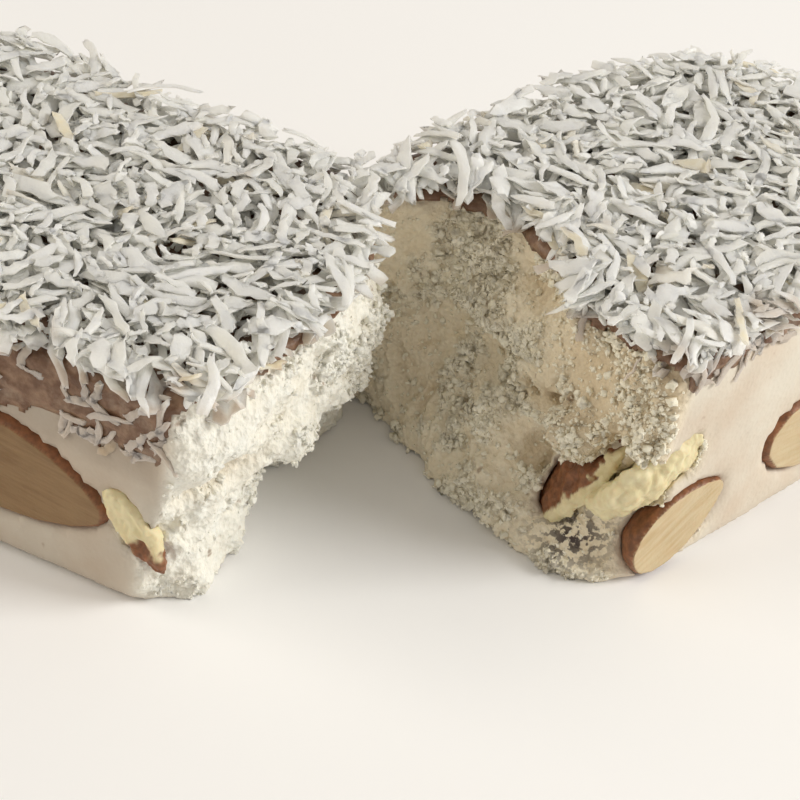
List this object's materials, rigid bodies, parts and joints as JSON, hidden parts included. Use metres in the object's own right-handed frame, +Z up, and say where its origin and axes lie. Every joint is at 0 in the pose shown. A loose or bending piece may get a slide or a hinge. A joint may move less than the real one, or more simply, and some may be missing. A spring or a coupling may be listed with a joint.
{
  "type": "nougat bar",
  "caption": "Soft nougat bar with almonds under a thin chocolate layer and a coconut coating, torn across and folded open.",
  "frame": {"origin": "centre of the bounding box, on the base", "axes": "+X along the folded-open bar from its left half to its right half, -Y towards the side where the tear opens, +Z up"},
  "size_m": [0.1232, 0.0652, 0.0279],
  "materials": {
    "nougat": "soft, porous white nougat with knife-cut sides and a crumbly torn face",
    "chocolate": "thin milk chocolate with a dull sheen",
    "coconut": "dense layer of white coconut shreds",
    "almond_front_left": "cut almond flesh with a thin brown skin",
    "almond_front_left_outer": "cut almond flesh with a thin brown skin",
    "almond_splinter": "cut almond flesh with a thin brown skin",
    "almond_front_right_corner": "cut almond flesh with a thin brown skin",
    "almond_front_right": "cut almond flesh with a thin brown skin",
    "almond_split_upper": "cut almond flesh with a thin brown skin",
    "almond_split_lower": "cut almond flesh with a thin brown skin",
    "almond_back_left": "cut almond flesh with a thin brown skin",
    "almond_back_left_outer": "cut almond flesh with a thin brown skin",
    "almond_back_right": "cut almond flesh with a thin brown skin",
    "almond_end_left": "cut almond flesh with a thin brown skin",
    "almond_end_right": "cut almond flesh with a thin brown skin"
  },
  "bodies": {
    "root": {"nougat": "nougat", "chocolate": "chocolate", "coconut": "coconut", "almond_front_left": "almond_front_left", "almond_front_left_outer": "almond_front_left_outer", "almond_splinter": "almond_splinter", "almond_front_right_corner": "almond_front_right_corner", "almond_front_right": "almond_front_right", "almond_split_upper": "almond_split_upper", "almond_split_lower": "almond_split_lower", "almond_back_left": "almond_back_left", "almond_back_left_outer": "almond_back_left_outer", "almond_back_right": "almond_back_right", "almond_end_left": "almond_end_left", "almond_end_right": "almond_end_right"}
  },
  "joints": []
}
